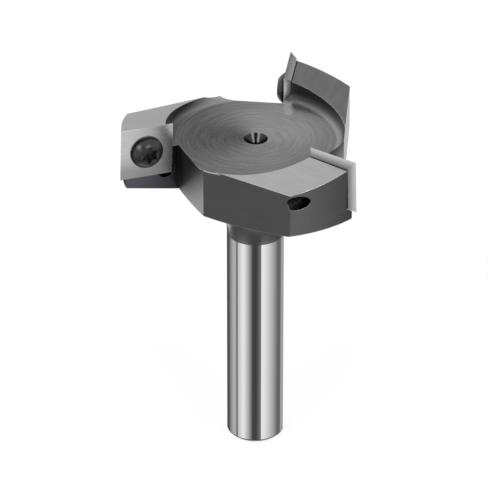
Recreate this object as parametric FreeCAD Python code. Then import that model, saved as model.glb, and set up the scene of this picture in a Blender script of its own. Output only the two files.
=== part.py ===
import FreeCAD, Part
import math
import os

# A facing cutter for wood: a steel body on a straight round shank, with three square
# carbide inserts, each held in its pocket by one button-head screw.
# Lengths are millimetres and angles degrees. Z runs up the axis, from the centre of the
# shank's free end to the cutting face. Each wing is drawn in a frame of its own, with X
# outward along its insert's face, Y the way the insert faces, and Z up.

# Shank and neck. The shank is ground up to the neck, which flares into the underside.
shank_diameter = 12.7
shank_length = 51.7
shank_chamfer = 0.65
neck_length = 9.95
neck_radius = 11.6

# Turned head. The rim stands a clearance inside the cutting circle, and the recess wall a
# setback inside the inner edge of the insert's seat.
rim_clearance = 0.8
rim_chamfer = 0.3
rim_drop = 8.25
underside_angle = 12.5
recess_setback = 0.12
recess_chamfer = 1.2

# Centre hole in the hub that held the blank for turning
centre_angle = 60.0
centre_diameter = 5.35
pilot_diameter = 2.5
pilot_length = 2.5
drill_point_angle = 118.0

# Wings and the gullets between them. The land is the wing's face inside the insert, the
# hub flat leans inward from it, and the heel inset is how far the plane of the trailing
# face passes inside the recess wall.
wing_count = 3
first_wing_angle = 202.0
face_offset = 3.73
land_width = 1.4
hub_flat_lean = 1.0
heel_inset = 0.36
trailing_taper = 3.5
top_relief_angle = 11.6

# Square reversible inserts
cutting_diameter = 60.0
tip_height = 5.95
insert_dish = 1.85
insert_side = 12.0
insert_thickness = 1.5
insert_bevel_angle = 35.0
insert_hole_diameter = 4.3
insert_stand_out = 1.4

# Insert pockets
wall_gap = 0.05
relief_diameter = 3.9
relief_inward = 4.62
relief_below = 5.1
relief_extra_depth = 0.4

# Insert screws, with the thread drawn as a plain cylinder at its root, whose depth across
# the thread is given in pitches
thread_diameter = 4.0
thread_pitch = 0.7
thread_root_depth = 1.08
thread_gap = 0.03
screw_length = 8.0
sink_angle = 90.0
sink_gap = 0.03
hole_mouth_diameter = 4.6
head_diameter = 7.3
head_underside_height = 0.1
head_height = 2.0
head_flat_diameter = 4.4
dome_radius = 4.2
lobe_diameter = 4.0
lobe_root_diameter = 2.85
lobe_tip_radius = 0.33
lobe_depth = 1.7
lobe_count = 6
lobe_turn = 30.0

shank_radius = shank_diameter / 2
body_radius = cutting_diameter / 2 - rim_clearance
underside_slope = math.tan(math.radians(underside_angle))
underside_height = shank_length + neck_length
rim_bottom = underside_height + (body_radius - shank_radius) * underside_slope
floor_height = rim_bottom + rim_drop
blank_top = floor_height + tip_height
wing_pitch = 360 / wing_count

insert_half = insert_side / 2
bevel_run = insert_thickness * math.tan(math.radians(insert_bevel_angle))
dish_sin = math.sin(math.radians(insert_dish))
dish_cos = math.cos(math.radians(insert_dish))
tip_outward = math.sqrt((cutting_diameter / 2) ** 2 - face_offset ** 2)
insert_outward = tip_outward - insert_half * (dish_cos - dish_sin)
insert_height = blank_top - insert_half * (dish_cos + dish_sin)

seat_inner_edge = insert_outward - insert_half + bevel_run
recess_radius = math.hypot(seat_inner_edge, face_offset + insert_thickness) - recess_setback
hub_flat_distance = insert_outward - insert_half - land_width
trailing_distance = recess_radius - heel_inset

thread_root_radius = (thread_diameter - thread_root_depth * thread_pitch) / 2
sink_slope = math.tan(math.radians(sink_angle / 2))
reach = 3 * body_radius

Vector = FreeCAD.Vector
Z_AXIS = Vector(0, 0, 1)


def flat(x, y):
    return Vector(x, y, 0)


def upright(x, z):
    return Vector(x, 0, z)


def rounding(before, corner, after, radius):
    """Two tangent points and the middle point of the arc that rounds a corner."""
    toward = (before - corner).normalize()
    away = (after - corner).normalize()
    half_angle = toward.getAngle(away) / 2
    run = radius / math.tan(half_angle)
    bisector = (toward + away).normalize()
    middle = corner + bisector * (radius / math.sin(half_angle) - radius)
    return corner + toward * run, middle, corner + away * run


def outline(corners, place):
    """Face inside straight runs between corners (a, b) or rounded corners (a, b, radius)."""
    points = [place(*corner[:2]) for corner in corners]
    edges = []
    starts = []
    ends = []
    for index, corner in enumerate(corners):
        radius = corner[2] if len(corner) > 2 else 0
        if radius:
            before = points[index - 1]
            after = points[(index + 1) % len(points)]
            start, middle, end = rounding(before, points[index], after, radius)
            edges.append(Part.Arc(start, middle, end).toShape())
        else:
            start = end = points[index]
        starts.append(start)
        ends.append(end)
    for index, end in enumerate(ends):
        start = starts[(index + 1) % len(starts)]
        edges.append(Part.makeLine(end, start))
    return Part.Face(Part.Wire(Part.__sortEdges__(edges)))


def turned(corners):
    """Solid turned about Z from an outline of (radius, height) corners."""
    return outline(corners, upright).revolve(Vector(), Z_AXIS, 360)


def wing_angle(index):
    return first_wing_angle + index * wing_pitch


def on_wing(shape, index):
    """Copy of a shape from the wing's frame at its place on the body."""
    placed = shape.copy()
    placed.rotate(Vector(), Z_AXIS, wing_angle(index))
    return placed


def on_insert(shape):
    """Copy of a shape from the insert's frame in the wing's frame.

    The insert's frame has its origin at the middle of the insert's face, X along the
    dished face, Y out of it and Z up along it.
    """
    placed = shape.copy()
    placed.rotate(Vector(), Vector(0, 1, 0), -insert_dish)
    placed.translate(Vector(insert_outward, -face_offset, insert_height))
    return placed


def facing(shape):
    """Copy of a shape turned from standing up along Z to facing out of the insert."""
    placed = shape.copy()
    placed.rotate(Vector(), Vector(1, 0, 0), -90)
    return placed


def blank():
    """The turned body before milling: shank, neck, cone underside, rim and recess."""
    return turned([
        (0, 0),
        (shank_radius - shank_chamfer, 0),
        (shank_radius, shank_chamfer),
        (shank_radius, underside_height, neck_radius),
        (body_radius - rim_chamfer, rim_bottom - rim_chamfer * underside_slope),
        (body_radius, rim_bottom + rim_chamfer),
        (body_radius, blank_top),
        (recess_radius, blank_top),
        (recess_radius, floor_height + recess_chamfer),
        (recess_radius - recess_chamfer, floor_height),
        (0, floor_height),
    ])


def centre_hole():
    """Centre-drilled hole in the hub's floor."""
    mouth = centre_diameter / 2
    pilot = pilot_diameter / 2
    cone_end = floor_height - (mouth - pilot) / math.tan(math.radians(centre_angle / 2))
    pilot_end = cone_end - pilot_length
    point_end = pilot_end - pilot / math.tan(math.radians(drill_point_angle / 2))
    return turned([
        (0, floor_height),
        (mouth, floor_height),
        (pilot, cone_end),
        (pilot, pilot_end),
        (0, point_end),
    ])


def turn_in_plan(x, y, degrees):
    angle = math.radians(degrees)
    return (x * math.cos(angle) - y * math.sin(angle),
            x * math.sin(angle) + y * math.cos(angle))


def crossing(point, degrees, other_point, other_degrees):
    """Where two lines in plan meet, each given by a point and its direction."""
    run_x, run_y = turn_in_plan(1, 0, degrees)
    other_x, other_y = turn_in_plan(1, 0, other_degrees)
    across_x = other_point[0] - point[0]
    across_y = other_point[1] - point[1]
    along = (across_x * other_y - across_y * other_x) / (run_x * other_y - run_y * other_x)
    return point[0] + along * run_x, point[1] + along * run_y


def gullet():
    """Milled space from a wing's front face to the trailing face of the wing before it."""
    corner = (hub_flat_distance, -face_offset)
    trailing_angle = wing_pitch + trailing_taper
    foot = turn_in_plan(0, -trailing_distance, trailing_angle)
    heel = crossing(corner, 90 + hub_flat_lean, foot, trailing_angle)
    run_x, run_y = turn_in_plan(reach, 0, trailing_angle)
    plan = outline([
        corner,
        (reach, -face_offset),
        (reach, reach),
        (heel[0] + run_x, heel[1] + run_y),
        heel,
    ], flat)
    plan.translate(Vector(0, 0, shank_length))
    return plan.extrude(Vector(0, 0, reach))


def top_relief():
    """Space above a wing's top, which is level along the wing and falls away behind."""
    seat_offset = face_offset + insert_thickness
    top = Part.makeBox(2 * reach, 2 * reach, reach, Vector(-reach, -reach, 0))
    top.rotate(Vector(), Vector(1, 0, 0), top_relief_angle)
    edge_height = insert_height + insert_half / dish_cos - insert_stand_out
    top.translate(Vector(0, -seat_offset, edge_height))
    wing_only = Part.makeBox(reach, reach, 2 * reach)
    wing_only.translate(Vector(0, -reach - face_offset, 0))
    return top.common(wing_only)


def bevelled_block(back_low, back_high, low, high):
    """Square block in the insert's frame, from its back edges to those of its face."""
    return Part.makeWedge(
        back_low, -insert_thickness, back_low, low, low,
        back_high, 0, back_high, high, high,
    )


def pocket():
    """Seat for the insert, open outward and upward, with a drilled corner relief."""
    wall = insert_half + wall_gap
    seat = bevelled_block(bevel_run - wall, reach, -wall, reach)
    lead_in = Part.makeBox(wall + reach, face_offset, wall + reach, Vector(-wall, 0, -wall))
    relief_depth = insert_thickness + relief_extra_depth
    relief = Part.makeCylinder(
        relief_diameter / 2,
        relief_depth + face_offset,
        Vector(-relief_inward, face_offset, -relief_below),
        Vector(0, -1, 0),
    )
    return on_insert(seat.fuse([lead_in, relief]))


def tapped_hole():
    """Hole for the screw's thread, from a countersunk mouth in the seat through the wing."""
    radius = thread_root_radius + thread_gap
    mouth = hole_mouth_diameter / 2
    hole = turned([
        (0, -reach),
        (radius, -reach),
        (radius, -insert_thickness - (mouth - radius) / sink_slope),
        (mouth, -insert_thickness),
        (0, -insert_thickness),
    ])
    return on_insert(facing(hole))


def cutter_body():
    cuts = [centre_hole()]
    for index in range(wing_count):
        for tool in (gullet(), top_relief(), pocket(), tapped_hole()):
            cuts.append(on_wing(tool, index))
    return blank().cut(cuts).removeSplitter()


def cutting_insert():
    """Square insert in its own frame, bevelled on four sides and countersunk."""
    back_half = insert_half - bevel_run
    block = bevelled_block(-back_half, back_half, -insert_half, insert_half)
    hole = insert_hole_diameter / 2
    sink = head_diameter / 2 - head_underside_height * sink_slope
    sink_depth = (sink - hole) / sink_slope
    bore = turned([
        (0, -2 * insert_thickness),
        (hole, -2 * insert_thickness),
        (hole, -sink_depth),
        (sink + insert_thickness * sink_slope, insert_thickness),
        (0, insert_thickness),
    ])
    return block.cut(facing(bore))


def lobed_prism():
    """Six-lobe socket from its floor at Z 0, with arcs that meet smoothly."""
    tip_centre = lobe_diameter / 2 - lobe_tip_radius
    root = lobe_root_diameter / 2
    step = 180 / lobe_count
    across = tip_centre * math.cos(math.radians(step))
    root_radius = (
        (tip_centre ** 2 + root ** 2 - 2 * across * root - lobe_tip_radius ** 2)
        / (2 * (lobe_tip_radius + across - root))
    )
    root_centre = root + root_radius
    edges = []
    for lobe in range(lobe_count):
        tip_angle = lobe_turn + lobe * 2 * step
        tip = flat(*turn_in_plan(tip_centre, 0, tip_angle))
        next_tip = flat(*turn_in_plan(tip_centre, 0, tip_angle + 2 * step))
        last_bay = flat(*turn_in_plan(root_centre, 0, tip_angle - step))
        next_bay = flat(*turn_in_plan(root_centre, 0, tip_angle + step))
        tip_start = tip + (last_bay - tip).normalize() * lobe_tip_radius
        tip_end = tip + (next_bay - tip).normalize() * lobe_tip_radius
        bay_end = next_tip + (next_bay - next_tip).normalize() * lobe_tip_radius
        tip_top = flat(*turn_in_plan(lobe_diameter / 2, 0, tip_angle))
        bay_floor = flat(*turn_in_plan(root, 0, tip_angle + step))
        edges.append(Part.Arc(tip_start, tip_top, tip_end).toShape())
        edges.append(Part.Arc(tip_end, bay_floor, bay_end).toShape())
    face = Part.Face(Part.Wire(edges))
    return face.extrude(Vector(0, 0, reach))


def insert_screw():
    """Screw that stands up along Z, with the plane of the insert's face at Z 0."""
    head = head_diameter / 2
    shaft = thread_root_radius
    underside = head_underside_height + sink_gap
    cone_end = underside - (head - shaft) / sink_slope
    stud = turned([
        (0, -screw_length),
        (shaft, -screw_length),
        (shaft, cone_end),
        (head, underside),
        (head, head_height),
        (0, head_height),
    ])
    dome_centre = head_height - math.sqrt(dome_radius ** 2 - (head_flat_diameter / 2) ** 2)
    dome = Part.makeSphere(dome_radius, Vector(0, 0, dome_centre))
    below = Part.makeCylinder(head, screw_length + underside, Vector(0, 0, -screw_length))
    socket = lobed_prism()
    socket.translate(Vector(0, 0, head_height - lobe_depth))
    return facing(stud.common(dome.fuse(below)).cut(socket))


def main():
    os.makedirs("parts", exist_ok=True)
    solids = {"cutter_body": cutter_body()}
    for index in range(wing_count):
        number = index + 1
        solids[f"cutting_insert_{number}"] = on_wing(on_insert(cutting_insert()), index)
        solids[f"insert_screw_{number}"] = on_wing(on_insert(insert_screw()), index)
    for name, solid in solids.items():
        solid.exportStep(f"parts/{name}.step")


main()
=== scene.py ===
import math

import bmesh
import bpy
from mathutils import Matrix, Vector


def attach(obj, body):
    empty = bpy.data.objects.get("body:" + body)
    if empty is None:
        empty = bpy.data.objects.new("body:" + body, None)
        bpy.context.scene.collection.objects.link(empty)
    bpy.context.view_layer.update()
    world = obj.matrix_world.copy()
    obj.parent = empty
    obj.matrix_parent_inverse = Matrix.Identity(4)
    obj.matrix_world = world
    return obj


MM = 0.001

# Sizes of the part that the looks follow, in metres and degrees
SHANK_GROUND_LENGTH = 51.7 * MM
FLOOR_HEIGHT = 74.966 * MM
RECESS_RADIUS = 19.6 * MM
BODY_RADIUS = 29.2 * MM
FIRST_WING_ANGLE = 202.0
WING_COUNT = 3
FACE_OFFSET = 3.73 * MM
SEAT_OFFSET = 5.23 * MM
HUB_FLAT_DISTANCE = 16.564 * MM
HUB_FLAT_LEAN = 1.0
TOP_EDGE_HEIGHT = 79.328 * MM
TOP_RELIEF = 11.6
TRAILING_DISTANCE = 19.24 * MM
TRAILING_TAPER = 3.5
INSERT_OUTWARD = 23.964 * MM
INSERT_HEIGHT = 74.725 * MM
INSERT_DISH = 1.85
HEAD_RADIUS = 3.65 * MM

# Smooth lining of the recess, whose corner is a fillet, over the chamfer of the solid
LINING_STAND_OFF = 0.022 * MM
LINING_DEPTH = 0.2 * MM
LINING_FILLET = 2.05 * MM
LINING_FILLET_STEPS = 20
LINING_FROM_ANGLE = -96
LINING_TO_ANGLE = -12
LINING_ANGLE_STEP = 1.5
CUT_GAP = 0.004 * MM

# Thread turns in the tapped holes, from behind the screw's end
THREAD_START = 8.2 * MM
THREAD_TURNS = 22
THREAD_PITCH = 0.7 * MM
THREAD_WALL_RADIUS = 1.67 * MM
THREAD_CREST_RADIUS = 1.5 * MM
THREAD_CREST_WIDTH = 0.1 * MM
THREAD_ROOT_WIDTH = 0.66 * MM
THREAD_STEPS_PER_TURN = 48
THREAD_EDGE_GAP = 0.05 * MM
SHARP_ANGLE = 30

# How the surfaces of the steel are told apart. A milled face is known by its plane's distance
# from the axis, and a pair is where a surface's mask starts and ends.
UPRIGHT_REACH = 0.1
PLANE_REACH = 0.4 * MM
RIM_REACH = 0.1 * MM
GULLET_WALL_DISTANCE = 16.5 * MM
HUB_FLOOR_FACING = (0.97, 0.999)
HUB_FLOOR_REACH = 0.3 * MM
WING_TOP_FACING = (0.955, 0.97)
WING_TOP_RISE = (1.0 * MM, 1.2 * MM)
RECESS_MIDDLE = 1.2 * MM
RECESS_REACH = 1.3 * MM
RECESS_RISE = 0.01 * MM
CENTRE_HOLE_RADII = (2.6 * MM, 2.7 * MM)
CENTRE_HOLE_DROP = (0.1 * MM, 0.02 * MM)
CENTRE_HOLE_DEPTH = 15 * MM
NECK_RADII = (11 * MM, 13 * MM)
NECK_DROP = (10 * MM, 9.5 * MM)
STEEP_FROM = 0.02

# Turn from a wing, in degrees, up to which a place belongs to it and not to the next wing
WING_TURN_END = 20

# Greys of the steel's surfaces. Where there are two, one goes over into the other between the
# ends of the fade, and the fade is painted light and shade.
SIDE_GREY = 0.115
RIM_GREY = 0.156
NECK_GREY = 0.19
HUB_GREY = 0.325
TOP_GREY = 0.445
GROUND_GREY = 0.86
# Painted shade on the front face, fading along it
FRONT_FACE_SHADE_GREYS = (0.05, 0.12)
FRONT_FACE_SHADE_FADE = (17 * MM, 28 * MM)
# Painted shade on the gullet wall, darkest near the insert's pocket
GULLET_WALL_SHADE_GREYS = (0.07, 0.64)
GULLET_WALL_SHADE_FADE = (2.5 * MM, 14 * MM)
GULLET_WALL_SHADE_SLOPE = 0.667
# Painted shade on the recess wall, darker along its turn, lifting to the hub's grey only where the
# fillet faces up
RECESS_WALL_SHADE_GREYS = (0.3, 0.04)
RECESS_WALL_SHADE_FADE = (math.radians(-96), math.radians(-58))
RECESS_SHADE_POWER = 6.0
# Painted shade in the centre hole, near black deeper down
CENTRE_HOLE_SHADE_GREYS = (0.004, 0.045)
CENTRE_HOLE_SHADE_FADE = (1.95 * MM, 1.75 * MM)
BLUE_SHARES = (1.01, 1.16)

# Painted shade at the end of the shank, a dark band a little longer than the solid's chamfer
SHANK_END_SHADE_BAND = 0.85 * MM
SHANK_END_SHADE_FADE = 0.03 * MM
GROUND_FADE = 0.05 * MM

# Tool marks and wear of the steel, a painted highlight along its outer edges, and a painted
# shadow line where the insert's back meets its seat
RING_SCALE = 2600.0
RING_TURN_SCALE = 1.5
STROKE_SCALES = (160.0, 160.0, 4200.0)
MOTTLE_SCALE = 90.0
MOTTLE_SHARES = (0.95, 1.05)
MARK_CONTRAST = 0.35
RING_CONTRAST = 0.9
EDGE_HIGHLIGHT_GREY = 0.55
EDGE_TURN = (0.12, 0.35)
HOLE_EDGE_FADE = (2.2 * MM, 2.6 * MM)
HOLE_EDGE_SHARES = (0.15, 1.0)
JOINT_SHADOW_GREY = 0.02
JOINT_SHADOW_REACH = 0.22 * MM
SMALL_BEVEL = 0.14 * MM
EDGE_BEVEL = 0.22 * MM
STEEL_BEVEL_SAMPLES = 8

# Gloss and relief of the steel. The dish is a slope that only shades the hub's flat floor.
BASE_ROUGHNESS = (0.28, 0.2)
HUB_ROUGHNESS = 0.2
NECK_ROUGHNESS = 0.24
GULLET_WALL_ROUGHNESS = 0.4
CENTRE_HOLE_ROUGHNESS = 0.1
MARK_ROUGHNESS = 0.12
GROUND_ROUGHNESS = 0.05
HUB_DISH = (0.12, 0.075)
HUB_DISH_FADE = (9 * MM, 17.5 * MM)
HEAD_BUMPS = (0.25, 0.6)
GROUND_BUMP = 0.02
BUMP_DEPTH = 0.01 * MM
STEEL_ANISOTROPY = 0.6

# Greys of the carbide, with painted shade down and inward on the faces and towards the seat on
# the flanks. The insert behind the axis has bevel greys of its own, as painted light and shade.
CARBIDE_FACE_GREY = 0.74
CARBIDE_FLANK_SHADE_GREYS = (0.27, 0.68)
CARBIDE_FAR_GREYS = (0.62, 0.36)
CARBIDE_INNER_SIDE_GREY = 0.46
CARBIDE_INNER_SIDE_DISTANCE = 10 * MM
CARBIDE_TOP_SHARE = 0.78
CARBIDE_TOP_FACING = (0.3, 0.6)
CARBIDE_LOW_SHADE_SHARE = 0.55
CARBIDE_LOW_SHADE_FADE = (-5.5 * MM, 1 * MM)
CARBIDE_INNER_SHADE_SHARE = 0.72
CARBIDE_INNER_SHADE_FADE = (19 * MM, 30 * MM)
CARBIDE_FACE_REACH = 0.2 * MM
CARBIDE_LINE_SCALES = (200.0, 200.0, 3500.0)
CARBIDE_LINE_SHARES = (0.88, 1.12)
CARBIDE_ROUGHNESS = (0.24, 0.32)
CARBIDE_ANISOTROPY = 0.4
CARBIDE_BUMP = 0.08
CARBIDE_BUMP_DEPTH = 0.006 * MM
CARBIDE_BEVEL = 0.06 * MM

# Black oxide on the screws, with painted shade towards the head's rim, and the tapped bores'
# steel painted near black as shade
OXIDE_GREYS = (0.012, 0.035)
OXIDE_BLUE_SHARE = 1.1
OXIDE_SCALE = 1400.0
OXIDE_ROUGHNESS = (0.18, 0.3)
OXIDE_SPECULAR = 0.6
OXIDE_METALLIC = 0.4
OXIDE_BUMP = 0.25
OXIDE_BEVEL = 0.12 * MM
SMALL_PIECE_BEVEL_SAMPLES = 6
HEAD_RIM_SHADE_FROM = 3.3 * MM
HEAD_RIM_SHADE_SHARE = 0.1
BORE_SHADE_GREY = 0.016
BORE_ROUGHNESS = 0.45

# Floor: what share of it is plain white to the camera, and its own grey
FLOOR_WHITE_SHARE = 0.9
FLOOR_GREY = 0.95
FLOOR_HALF_WIDTH = 3.0

# The room's plain level, and lobes painted over it in turn: direction, angle inside which a
# lobe is full, angle outside which it ends, level
ROOM_LEVEL = 1.0
UPPER_LOBES = [
    ((0.0, 0.95, 0.31), 4, 13, 0.72),
    ((0.28, 0.84, 0.47), 12, 26, 0.19),
    ((-0.47, -0.71, 0.52), 8, 15, 6.0),
    ((0.47, -0.71, 0.52), 8, 15, 6.0),
    ((0.0, -0.86, 0.51), 8, 14, 0.1),
]

# Panels and dark flags round the lower half of the room, as azimuth and level where each
# begins or ends: 0 is towards the camera, and positive is to its right
LOWER_BANDS = [
    (-180, 0.06), (-137, 0.08), (-100, 0.5), (-87, 0.45),
    (-83, 0.15), (-79, 0.15),
    (-75, 0.6), (-50, 0.95), (-12, 0.06), (3, 0.05),
    (22, 0.2), (24, 0.95), (40, 0.85), (100, 0.15),
    (122, 0.15), (124, 0.4), (156, 0.4), (162, 1.1), (180, 1.1),
]

# Where the room's parts meet, as heights of a direction, and the levels under the panels
HORIZON_BLEND = (-0.38, -0.05)
NADIR_BLEND = (-0.58, -0.552)
NADIR_FADE = (0.35, 0.7)
NADIR_LEVELS = (0.25, 1.8)
FLOOR_BLEND = (-0.97, -0.9)

# Camera, solved from points and edges measured in the photograph
CAMERA_LENS = 310.3
CAMERA_SENSOR = 36.0
CAMERA_PITCH = 30.634
CAMERA_OFFSET = Vector((-2.564, -798.56, 446.24)) * MM

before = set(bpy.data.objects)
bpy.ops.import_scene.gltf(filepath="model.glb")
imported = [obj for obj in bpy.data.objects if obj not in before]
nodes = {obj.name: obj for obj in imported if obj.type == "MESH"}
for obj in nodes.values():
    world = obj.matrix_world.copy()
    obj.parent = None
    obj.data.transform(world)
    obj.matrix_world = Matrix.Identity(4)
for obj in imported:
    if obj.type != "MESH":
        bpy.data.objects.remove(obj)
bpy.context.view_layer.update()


class Nodes:
    """Builds a node tree from short calls that return output sockets."""

    def __init__(self, tree):
        self.tree = tree
        tree.nodes.clear()

    def set(self, socket, value):
        if isinstance(value, bpy.types.NodeSocket):
            self.tree.links.new(value, socket)
        else:
            socket.default_value = value

    def add(self, kind, inputs=None, **settings):
        node = self.tree.nodes.new(kind)
        for name, value in settings.items():
            setattr(node, name, value)
        for key, value in (inputs or {}).items():
            self.set(node.inputs[key], value)
        return node

    def math(self, operation, *values, clamp=False):
        inputs = dict(enumerate(values))
        return self.add("ShaderNodeMath", inputs, operation=operation, use_clamp=clamp).outputs[0]

    def product(self, *values):
        result = values[0]
        for value in values[1:]:
            result = self.math("MULTIPLY", result, value)
        return result

    def vector(self, operation, *values):
        node = self.add("ShaderNodeVectorMath", dict(enumerate(values)), operation=operation)
        scalar = operation in ("DOT_PRODUCT", "LENGTH", "DISTANCE")
        return node.outputs["Value" if scalar else "Vector"]

    def ramp(self, factor, stops):
        node = self.add("ShaderNodeValToRGB", {"Fac": factor})
        ramp = node.color_ramp
        while len(ramp.elements) < len(stops):
            ramp.elements.new(0.5)
        for element, (position, grey) in zip(ramp.elements, stops):
            element.position = position
            element.color = (grey, grey, grey, 1)
        return node.outputs["Color"]

    def step(self, value, low, high, start=0.0, end=1.0):
        """Smooth change from start to end as value goes from low to high."""
        node = self.add(
            "ShaderNodeMapRange",
            {"Value": value, "From Min": low, "From Max": high, "To Min": start, "To Max": end},
            interpolation_type="SMOOTHSTEP",
        )
        return node.outputs["Result"]

    def near(self, value, middle, reach):
        """One where a value lies within a reach of the middle, and zero elsewhere."""
        return self.math("COMPARE", value, middle, reach)

    def mix(self, factor, first, second):
        node = self.add("ShaderNodeMix", data_type="FLOAT")
        self.set(node.inputs[0], factor)
        self.set(node.inputs[2], first)
        self.set(node.inputs[3], second)
        return node.outputs[0]

    def noise(self, vector, scale, detail=2.0, roughness=0.5):
        node = self.add(
            "ShaderNodeTexNoise",
            {"Vector": vector, "Scale": scale, "Detail": detail, "Roughness": roughness},
        )
        return node.outputs["Fac"]

    def color(self, grey, blue=None):
        """Colour of one grey, with a blue of its own where that is given."""
        return self.add("ShaderNodeCombineColor", {
            "Red": grey, "Green": grey, "Blue": grey if blue is None else blue}).outputs[0]

    def bevel(self, radius, samples):
        return self.add("ShaderNodeBevel", {"Radius": radius}, samples=samples).outputs[0]

    def finish(self, kind, shader):
        self.add(kind, {"Surface": shader.outputs[0]})


def new_material(name):
    material = bpy.data.materials.new(name)
    material.use_nodes = True
    return material, Nodes(material.node_tree)


def position_parts(build):
    position = build.add("ShaderNodeTexCoord").outputs["Object"]
    x, y, z = build.add("ShaderNodeSeparateXYZ", {0: position}).outputs
    square = build.math("ADD", build.product(x, x), build.product(y, y))
    return position, x, y, z, build.math("SQRT", square)


def surface_normal(build):
    """Normal of the surface, and how far it faces up."""
    normal = build.add("ShaderNodeNewGeometry").outputs["Normal"]
    return normal, build.add("ShaderNodeSeparateXYZ", {0: normal}).outputs[2]


def place_along(build, position, normal):
    """Place along an upright face, level from its foot on the axis."""
    return build.vector("DOT_PRODUCT", position, build.vector("CROSS_PRODUCT", normal, (0, 0, 1)))


def grain_across(build, normal, position):
    """Direction across the tool marks: uphill on a face, and radial on a level one."""
    flat_position = build.vector("MULTIPLY", position, (1, 1, 0))
    level = build.vector("CROSS_PRODUCT", normal, (0, 0, 1))
    uphill = build.vector("CROSS_PRODUCT", level, normal)
    steep = build.math("GREATER_THAN", build.vector("LENGTH", uphill), STEEP_FROM)
    both = build.add("ShaderNodeMix", data_type="VECTOR", clamp_factor=True)
    build.set(both.inputs[0], steep)
    build.set(both.inputs[4], build.vector("NORMALIZE", flat_position))
    build.set(both.inputs[5], build.vector("NORMALIZE", uphill))
    return both.outputs[1]


def place_on_wing(build, x, y, radius):
    """Place along and across whichever wing a point belongs to, and its turn from that wing."""
    turn = build.math("SUBTRACT", build.math("ARCTAN2", y, x), math.radians(FIRST_WING_ANGLE))
    turn = build.math("WRAP", turn, math.radians(WING_TURN_END - 360 / WING_COUNT),
                      math.radians(WING_TURN_END))
    along = build.product(radius, build.math("COSINE", turn))
    across = build.product(radius, build.math("SINE", turn))
    return along, across, turn


def distance_from_screw(build, along_wing, z):
    """Distance from the axis of the wing's screw, seen along it."""
    return build.vector("LENGTH", build.add("ShaderNodeCombineXYZ", {
        "X": build.math("SUBTRACT", along_wing, INSERT_OUTWARD),
        "Y": build.math("SUBTRACT", z, INSERT_HEIGHT)}).outputs[0])


def steel_surfaces(build, position, z, radius, normal, facing_up):
    """Masks that are one on each surface of the steel."""
    upright = build.near(facing_up, 0.0, UPRIGHT_REACH)
    plane_distance = build.vector("DOT_PRODUCT", position, normal)
    level_position = build.vector("MULTIPLY", position, (1, 1, 0))
    inward_face = build.vector("DOT_PRODUCT", level_position, normal)

    def milled_face(distance):
        return build.product(upright, build.near(plane_distance, distance, PLANE_REACH))

    def below(drop):
        return [FLOOR_HEIGHT - height for height in drop]

    return {
        "upright": upright,
        # The ground mask stops short of the shank's end, leaving a painted dark band of shade there
        "ground": build.product(
            build.step(z, SHANK_GROUND_LENGTH - GROUND_FADE, SHANK_GROUND_LENGTH, 1.0, 0.0),
            build.step(z, SHANK_END_SHADE_BAND - SHANK_END_SHADE_FADE, SHANK_END_SHADE_BAND + SHANK_END_SHADE_FADE)),
        "rim": build.product(upright, build.near(radius, BODY_RADIUS, RIM_REACH)),
        "gullet_wall": milled_face(GULLET_WALL_DISTANCE),
        "front_face": milled_face(-FACE_OFFSET),
        "trailing_face": milled_face(TRAILING_DISTANCE),
        "recess": build.product(
            build.near(radius, RECESS_RADIUS - RECESS_MIDDLE, RECESS_REACH),
            build.math("GREATER_THAN", z, FLOOR_HEIGHT + RECESS_RISE),
            build.math("LESS_THAN", inward_face, 0.0)),
        "hub_floor": build.product(
            build.step(facing_up, *HUB_FLOOR_FACING),
            build.near(z, FLOOR_HEIGHT, HUB_FLOOR_REACH)),
        "wing_top": build.product(
            build.step(facing_up, *WING_TOP_FACING),
            build.step(z, *(FLOOR_HEIGHT + rise for rise in WING_TOP_RISE))),
        "centre_hole": build.product(
            build.step(radius, *CENTRE_HOLE_RADII, 1.0, 0.0),
            build.step(z, *below(CENTRE_HOLE_DROP), 1.0, 0.0),
            build.step(z, SHANK_GROUND_LENGTH, FLOOR_HEIGHT - CENTRE_HOLE_DEPTH)),
        "neck": build.product(
            build.step(radius, *NECK_RADII, 1.0, 0.0),
            build.step(z, *below(NECK_DROP), 1.0, 0.0)),
    }


def steel_marks(build, position, x, y, z, radius, hub_floor):
    """Rings on the turned floor of the hub, and level strokes elsewhere."""
    rings_at = build.add("ShaderNodeCombineXYZ", {
        "X": build.product(radius, RING_SCALE),
        "Y": build.product(build.math("ARCTAN2", y, x), RING_TURN_SCALE),
        "Z": build.product(z, RING_SCALE),
    }).outputs[0]
    rings = build.noise(rings_at, 1.0, 3.0, 0.6)
    strokes = build.noise(build.vector("MULTIPLY", position, STROKE_SCALES), 1.0, 4.0, 0.6)
    return build.mix(hub_floor, strokes, rings)


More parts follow.
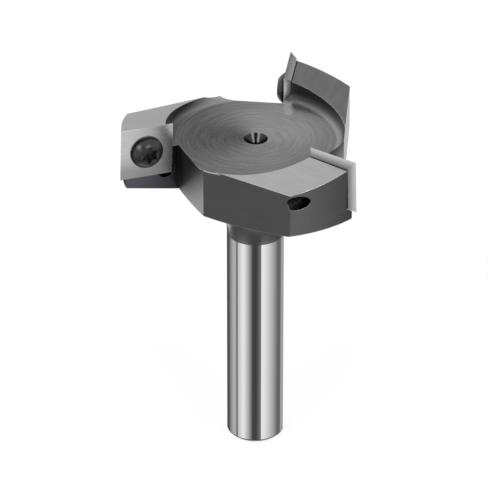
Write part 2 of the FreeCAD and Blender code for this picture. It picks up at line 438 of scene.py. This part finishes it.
def plain_steel_grey(build, on, along_wall, turn, z, facing_up):
    """Grey of each surface of the head, with its painted light and shade, before marks and wear."""
    # Painted shade in the recess: the wall darkens along its turn, and the fillet takes the hub's
    # grey only where it faces up
    recess_wall_shade = build.step(turn, *RECESS_WALL_SHADE_FADE, *RECESS_WALL_SHADE_GREYS)
    recess_level = build.math("POWER", build.math("MAXIMUM", facing_up, 0.0), RECESS_SHADE_POWER)
    # Painted shade on the gullet wall, darkest near the insert's pocket
    from_pocket = build.math("SUBTRACT", build.math("SUBTRACT", FLOOR_HEIGHT, z),
                             build.product(along_wall, GULLET_WALL_SHADE_SLOPE))
    # Painted shade in the centre hole, near black deeper down
    hole_shade_fade = [FLOOR_HEIGHT - depth for depth in CENTRE_HOLE_SHADE_FADE]
    grey = SIDE_GREY
    for surface, surface_grey in (
        ("rim", RIM_GREY),
        ("gullet_wall", build.step(from_pocket, *GULLET_WALL_SHADE_FADE, *GULLET_WALL_SHADE_GREYS)),
        # Painted shade on the front face, fading along it
        ("front_face", build.step(along_wall, *FRONT_FACE_SHADE_FADE, *FRONT_FACE_SHADE_GREYS)),
        ("recess", build.mix(recess_level, recess_wall_shade, HUB_GREY)),
        ("hub_floor", HUB_GREY),
        ("wing_top", TOP_GREY),
        ("centre_hole", build.step(z, *hole_shade_fade, *CENTRE_HOLE_SHADE_GREYS)),
        ("neck", NECK_GREY),
    ):
        grey = build.mix(on[surface], grey, surface_grey)
    return grey


def steel_material():
    """Turned and milled steel, dull on the head and ground bright on the shank."""
    material, build = new_material("body_steel")
    position, x, y, z, radius = position_parts(build)
    normal, facing_up = surface_normal(build)
    on = steel_surfaces(build, position, z, radius, normal, facing_up)
    marks = steel_marks(build, position, x, y, z, radius, on["hub_floor"])
    along_wall = place_along(build, position, normal)
    along_wing, across_wing, turn = place_on_wing(build, x, y, radius)

    head_grey = plain_steel_grey(build, on, along_wall, turn, z, facing_up)
    mottle = build.noise(build.vector("SCALE", position), MOTTLE_SCALE, 3.0)
    contrast = build.mix(on["hub_floor"], MARK_CONTRAST, RING_CONTRAST)
    marked = build.product(build.math("SUBTRACT", marks, 0.5), contrast)
    wear = build.math("ADD", build.mix(mottle, *MOTTLE_SHARES), marked)
    head_grey = build.product(head_grey, wear)

    # Painted highlight along the edges of the outer faces, fainter round the tapped hole
    edge_normal = build.bevel(EDGE_BEVEL, STEEL_BEVEL_SAMPLES)
    turned_by = build.vector("DOT_PRODUCT", build.vector("SUBTRACT", edge_normal, normal), (0, 0, 1))
    edge = build.step(build.math("ABSOLUTE", turned_by), *EDGE_TURN)
    outer_face = build.math("ADD", on["rim"], on["trailing_face"])
    edge = build.product(edge, build.math("ADD", outer_face, on["wing_top"], clamp=True))
    off_hole = build.step(distance_from_screw(build, along_wing, z), *HOLE_EDGE_FADE,
                          *HOLE_EDGE_SHARES)
    head_grey = build.mix(build.product(edge, off_hole), head_grey, EDGE_HIGHLIGHT_GREY)

    # Painted shadow line where the insert's back meets its seat
    seat_shadow = build.product(on["wing_top"], build.near(across_wing, -SEAT_OFFSET, JOINT_SHADOW_REACH))
    head_grey = build.mix(seat_shadow, head_grey, JOINT_SHADOW_GREY)
    grey = build.mix(on["ground"], head_grey, GROUND_GREY)
    blue = build.product(grey, build.mix(on["front_face"], *BLUE_SHARES))

    roughness = build.mix(on["upright"], *BASE_ROUGHNESS)
    for surface, surface_roughness in (
        ("hub_floor", HUB_ROUGHNESS),
        ("neck", NECK_ROUGHNESS),
        ("gullet_wall", GULLET_WALL_ROUGHNESS),
        ("centre_hole", CENTRE_HOLE_ROUGHNESS),
    ):
        roughness = build.mix(on[surface], roughness, surface_roughness)
    roughness = build.math("ADD", roughness, build.product(marks, MARK_ROUGHNESS))

    inward = build.vector("NORMALIZE", build.vector("MULTIPLY", position, (-1, -1, 0)))
    dish_depth = build.product(on["hub_floor"], build.step(radius, *HUB_DISH_FADE, *HUB_DISH))
    dish = build.add("ShaderNodeVectorMath", {0: inward, "Scale": dish_depth},
                     operation="SCALE").outputs[0]
    small_bevel = build.bevel(SMALL_BEVEL, STEEL_BEVEL_SAMPLES)
    dished = build.vector("NORMALIZE", build.vector("ADD", small_bevel, dish))
    bump_strength = build.mix(on["ground"], build.mix(on["hub_floor"], *HEAD_BUMPS), GROUND_BUMP)
    bump = build.add("ShaderNodeBump", {
        "Strength": bump_strength, "Distance": BUMP_DEPTH, "Height": marks, "Normal": dished})
    build.finish("ShaderNodeOutputMaterial", build.add("ShaderNodeBsdfPrincipled", {
        "Base Color": build.color(grey, blue),
        "Metallic": 1.0,
        "Roughness": build.mix(on["ground"], roughness, GROUND_ROUGHNESS),
        "Anisotropic": STEEL_ANISOTROPY,
        "Tangent": grain_across(build, normal, position),
        "Normal": bump.outputs[0],
    }))
    return material


def carbide_material():
    """Ground carbide with fine straight grinding lines."""
    material, build = new_material("ground_carbide")
    position, x, y, z, radius = position_parts(build)
    normal, facing_up = surface_normal(build)
    plane_distance = build.vector("DOT_PRODUCT", position, normal)
    lines = build.noise(build.vector("MULTIPLY", position, CARBIDE_LINE_SCALES), 1.0, 4.0, 0.6)

    # Painted shade on the face, darker low down and towards its inner end
    low = build.step(z, *(INSERT_HEIGHT + rise for rise in CARBIDE_LOW_SHADE_FADE),
                     CARBIDE_LOW_SHADE_SHARE, 1.0)
    inner = build.step(place_along(build, position, normal), *CARBIDE_INNER_SHADE_FADE,
                       CARBIDE_INNER_SHADE_SHARE, 1.0)
    face_grey = build.product(CARBIDE_FACE_GREY, build.product(low, inner))

    _, across_wing, _ = place_on_wing(build, x, y, radius)
    # Painted shade on the flanks, darker towards the seat; the insert behind the axis has its own
    # painted light and shade
    toward_face = build.step(across_wing, -SEAT_OFFSET, -FACE_OFFSET)
    behind_axis = build.math("GREATER_THAN", y, 0.0)
    flank_grey = build.mix(behind_axis, build.mix(toward_face, *CARBIDE_FLANK_SHADE_GREYS),
                           build.mix(toward_face, *CARBIDE_FAR_GREYS))
    top = build.step(facing_up, *CARBIDE_TOP_FACING, 1.0, CARBIDE_TOP_SHARE)
    inner_side = build.math("LESS_THAN", plane_distance, -CARBIDE_INNER_SIDE_DISTANCE)
    flank_grey = build.mix(inner_side, build.product(flank_grey, top), CARBIDE_INNER_SIDE_GREY)

    face = build.near(plane_distance, -FACE_OFFSET, CARBIDE_FACE_REACH)
    grey = build.product(build.mix(face, flank_grey, face_grey),
                         build.mix(lines, *CARBIDE_LINE_SHARES))
    bump = build.add("ShaderNodeBump", {
        "Strength": CARBIDE_BUMP, "Distance": CARBIDE_BUMP_DEPTH, "Height": lines,
        "Normal": build.bevel(CARBIDE_BEVEL, SMALL_PIECE_BEVEL_SAMPLES)})
    build.finish("ShaderNodeOutputMaterial", build.add("ShaderNodeBsdfPrincipled", {
        "Base Color": build.color(grey),
        "Metallic": 1.0,
        "Roughness": build.mix(lines, *CARBIDE_ROUGHNESS),
        "Anisotropic": CARBIDE_ANISOTROPY,
        "Tangent": grain_across(build, normal, position),
        "Normal": bump.outputs[0],
    }))
    return material


def black_oxide_material():
    """Black oxide on a rolled screw, a little mottled, with painted shade towards the head's rim."""
    material, build = new_material("black_oxide")
    position, x, y, z, radius = position_parts(build)
    mottle = build.noise(position, OXIDE_SCALE, 4.0, 0.6)
    along_wing, _, _ = place_on_wing(build, x, y, radius)
    # Painted shade towards the head's rim, darkening its colour and its gloss
    rim_shade = build.step(distance_from_screw(build, along_wing, z), HEAD_RIM_SHADE_FROM, HEAD_RADIUS,
                         1.0, HEAD_RIM_SHADE_SHARE)
    grey = build.product(build.mix(mottle, *OXIDE_GREYS), rim_shade)
    bump = build.add("ShaderNodeBump", {
        "Strength": OXIDE_BUMP, "Distance": BUMP_DEPTH, "Height": mottle,
        "Normal": build.bevel(OXIDE_BEVEL, SMALL_PIECE_BEVEL_SAMPLES)})
    build.finish("ShaderNodeOutputMaterial", build.add("ShaderNodeBsdfPrincipled", {
        "Base Color": build.color(grey, build.product(grey, OXIDE_BLUE_SHARE)),
        "Metallic": OXIDE_METALLIC,
        "Roughness": build.mix(mottle, *OXIDE_ROUGHNESS),
        "Specular IOR Level": build.product(rim_shade, OXIDE_SPECULAR),
        "Normal": bump.outputs[0],
    }))
    return material


def bore_material():
    """Steel of the thread in the tapped holes, painted near black as shade."""
    material, build = new_material("tapped_bore")
    build.finish("ShaderNodeOutputMaterial", build.add("ShaderNodeBsdfPrincipled", {
        "Base Color": (BORE_SHADE_GREY, BORE_SHADE_GREY, BORE_SHADE_GREY, 1),
        "Metallic": 1.0,
        "Roughness": BORE_ROUGHNESS,
    }))
    return material


def floor_material():
    """White to the camera, with the object's shadow faint on it."""
    material, build = new_material("white_floor")
    lit = build.add("ShaderNodeBsdfDiffuse", {"Color": (FLOOR_GREY, FLOOR_GREY, FLOOR_GREY, 1)})
    white = build.add("ShaderNodeEmission", {"Color": (1, 1, 1, 1), "Strength": 1.0})
    camera_ray = build.add("ShaderNodeLightPath").outputs["Is Camera Ray"]
    build.finish("ShaderNodeOutputMaterial", build.add("ShaderNodeMixShader", {
        0: build.product(camera_ray, FLOOR_WHITE_SHARE), 1: lit.outputs[0], 2: white.outputs[0]}))
    return material


def studio_world():
    """White to the camera; all other rays see a room with panels, dark flags and lobes."""
    world = bpy.data.worlds.new("studio")
    bpy.context.scene.world = world
    world.use_nodes = True
    build = Nodes(world.node_tree)
    direction = build.add("ShaderNodeTexCoord").outputs["Generated"]
    x, y, z = build.add("ShaderNodeSeparateXYZ", {0: direction}).outputs
    azimuth = build.math("ARCTAN2", x, build.product(y, -1.0))
    turn = build.math("ADD", build.math("DIVIDE", azimuth, 2 * math.pi), 0.5)
    lower = build.ramp(turn, [((degrees + 180) / 360, grey) for degrees, grey in LOWER_BANDS])
    upper = ROOM_LEVEL
    for toward, inner, outer, level in UPPER_LOBES:
        along = build.vector("DOT_PRODUCT", direction, Vector(toward).normalized())
        inside = build.step(along, math.cos(math.radians(outer)), math.cos(math.radians(inner)))
        upper = build.mix(inside, upper, level)
    nadir = build.step(y, *NADIR_FADE, *NADIR_LEVELS)
    nadir = build.mix(build.step(z, *FLOOR_BLEND), ROOM_LEVEL, nadir)
    lower = build.mix(build.step(z, *NADIR_BLEND), nadir, lower)
    level = build.mix(build.step(z, *HORIZON_BLEND), lower, upper)
    room = build.add("ShaderNodeBackground", {"Color": build.color(level), "Strength": 1.0})
    white = build.add("ShaderNodeBackground", {"Color": (1, 1, 1, 1), "Strength": 1.0})
    camera_ray = build.add("ShaderNodeLightPath").outputs["Is Camera Ray"]
    build.finish("ShaderNodeOutputWorld", build.add("ShaderNodeMixShader", {
        0: camera_ray, 1: room.outputs[0], 2: white.outputs[0]}))


def wing_turn(index):
    return Matrix.Rotation(math.radians(FIRST_WING_ANGLE + index * 360 / WING_COUNT), 4, "Z")


def trailing_plane():
    """The trailing face of a wing: a point on it and its outward normal."""
    angle = math.radians(TRAILING_TAPER - 90)
    normal = Vector((math.cos(angle), math.sin(angle), 0))
    return normal * TRAILING_DISTANCE, normal


def add_body_piece(name, mesh, material):
    """Object from a bmesh that rides with the body and is finished as it is."""
    data = bpy.data.meshes.new(name)
    mesh.to_mesh(data)
    mesh.free()
    data.materials.append(material)
    for polygon in data.polygons:
        polygon.use_smooth = True
    data.set_sharp_from_angle(angle=math.radians(SHARP_ANGLE))
    piece = bpy.data.objects.new(name, data)
    bpy.context.scene.collection.objects.link(piece)
    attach(piece, "root")


def cut_away(mesh, point, normal):
    """Cut off what lies outside a plane, a hair inside it, and close the cut."""
    found = bmesh.ops.bisect_plane(
        mesh,
        geom=mesh.verts[:] + mesh.edges[:] + mesh.faces[:],
        plane_co=point - normal * CUT_GAP,
        plane_no=normal,
        clear_outer=True,
    )
    cut_edges = [item for item in found["geom_cut"] if isinstance(item, bmesh.types.BMEdge)]
    bmesh.ops.holes_fill(mesh, edges=cut_edges)


def recess_lining(index, material):
    """Wall and corner fillet of the recess on one wing, as a thin closed piece."""
    wall = RECESS_RADIUS - LINING_STAND_OFF
    section = [
        (RECESS_RADIUS + LINING_DEPTH, TOP_EDGE_HEIGHT),
        (wall, TOP_EDGE_HEIGHT),
    ]
    for step in range(LINING_FILLET_STEPS + 1):
        angle = math.pi / 2 * step / LINING_FILLET_STEPS
        section.append((
            wall - LINING_FILLET * (1 - math.cos(angle)),
            FLOOR_HEIGHT + LINING_FILLET * (1 - math.sin(angle)),
        ))
    section.append((wall - LINING_FILLET, FLOOR_HEIGHT - LINING_DEPTH))
    section.append((RECESS_RADIUS + LINING_DEPTH, FLOOR_HEIGHT - LINING_DEPTH))

    mesh = bmesh.new()
    rows = []
    steps = round((LINING_TO_ANGLE - LINING_FROM_ANGLE) / LINING_ANGLE_STEP)
    for step in range(steps + 1):
        angle = math.radians(LINING_FROM_ANGLE + step * LINING_ANGLE_STEP)
        rows.append([
            mesh.verts.new((radius * math.cos(angle), radius * math.sin(angle), height))
            for radius, height in section
        ])
    for row, next_row in zip(rows, rows[1:]):
        for column in range(len(section)):
            after = (column + 1) % len(section)
            mesh.faces.new((row[column], row[after], next_row[after], next_row[column]))
    mesh.faces.new(rows[0])
    mesh.faces.new(rows[-1])
    bmesh.ops.recalc_face_normals(mesh, faces=mesh.faces)

    relief = math.radians(TOP_RELIEF)
    cut_away(mesh, Vector((0, -SEAT_OFFSET, 0)), Vector((0, 1, 0)))
    cut_away(mesh, Vector((0, -SEAT_OFFSET, TOP_EDGE_HEIGHT)),
             Vector((0, -math.sin(relief), math.cos(relief))))
    cut_away(mesh, *trailing_plane())
    wing_before = Matrix.Rotation(-2 * math.pi / WING_COUNT, 4, "Z")
    lean = math.radians(HUB_FLAT_LEAN)
    cut_away(mesh, wing_before @ Vector((HUB_FLAT_DISTANCE, -FACE_OFFSET, 0)),
             wing_before @ Vector((math.cos(lean), math.sin(lean), 0)))
    mesh.transform(wing_turn(index))
    add_body_piece(f"recess_lining_{index + 1}", mesh, material)


def thread_turns(index, material):
    """Ridge of the tapped thread behind the screw's end, kept inside the wing's outer faces."""
    place = (
        Matrix.Translation((INSERT_OUTWARD, -FACE_OFFSET, INSERT_HEIGHT))
        @ Matrix.Rotation(math.radians(-INSERT_DISH), 4, "Y")
    )
    on_plane, outward = trailing_plane()

    def inside(point):
        within_rim = math.hypot(point.x, point.y) < BODY_RADIUS - THREAD_EDGE_GAP
        return within_rim and (point - on_plane).dot(outward) < -THREAD_EDGE_GAP

    rows = []
    for step in range(THREAD_TURNS * THREAD_STEPS_PER_TURN):
        angle = 2 * math.pi * step / THREAD_STEPS_PER_TURN
        depth = THREAD_START + THREAD_PITCH * step / THREAD_STEPS_PER_TURN
        rows.append([
            place @ Vector((radius * math.cos(angle), -depth - shift, radius * math.sin(angle)))
            for radius, shift in (
                (THREAD_WALL_RADIUS, -THREAD_ROOT_WIDTH / 2),
                (THREAD_CREST_RADIUS, -THREAD_CREST_WIDTH / 2),
                (THREAD_CREST_RADIUS, THREAD_CREST_WIDTH / 2),
                (THREAD_WALL_RADIUS, THREAD_ROOT_WIDTH / 2),
            )
        ])
    mesh = bmesh.new()
    for row, next_row in zip(rows, rows[1:]):
        if all(inside(point) for point in row + next_row):
            corners = [mesh.verts.new(point) for point in row]
            next_corners = [mesh.verts.new(point) for point in next_row]
            for column in range(len(row)):
                after = (column + 1) % len(row)
                mesh.faces.new((corners[column], next_corners[column],
                                next_corners[after], corners[after]))
    bmesh.ops.remove_doubles(mesh, verts=mesh.verts, dist=CUT_GAP / 10)
    bmesh.ops.holes_fill(mesh, edges=mesh.edges)
    bmesh.ops.recalc_face_normals(mesh, faces=mesh.faces)
    mesh.transform(wing_turn(index))
    add_body_piece(f"thread_turns_{index + 1}", mesh, material)


def add_floor():
    half = FLOOR_HALF_WIDTH
    data = bpy.data.meshes.new("studio_floor")
    data.from_pydata([(-half, -half, 0), (half, -half, 0), (half, half, 0), (-half, half, 0)],
                     [], [(0, 1, 2, 3)])
    data.materials.append(floor_material())
    floor = bpy.data.objects.new("studio_floor", data)
    bpy.context.scene.collection.objects.link(floor)
    floor.visible_glossy = False


def add_camera():
    data = bpy.data.cameras.new("camera")
    data.lens = CAMERA_LENS
    data.sensor_width = CAMERA_SENSOR
    camera = bpy.data.objects.new("camera", data)
    camera.location = Vector((0, 0, FLOOR_HEIGHT)) + CAMERA_OFFSET
    camera.rotation_euler = (math.radians(90 - CAMERA_PITCH), 0, 0)
    bpy.context.scene.collection.objects.link(camera)
    bpy.context.scene.camera = camera


steel = steel_material()
carbide = carbide_material()
black = black_oxide_material()
bore = bore_material()
for name, node in nodes.items():
    if name == "cutter_body":
        node.material_slots[0].material = steel
    elif name.startswith("cutting_insert"):
        node.material_slots[0].material = carbide
    else:
        node.material_slots[0].material = black
for index in range(WING_COUNT):
    recess_lining(index, steel)
    thread_turns(index, bore)

add_floor()
studio_world()
add_camera()
bpy.context.scene.view_settings.view_transform = "Standard"
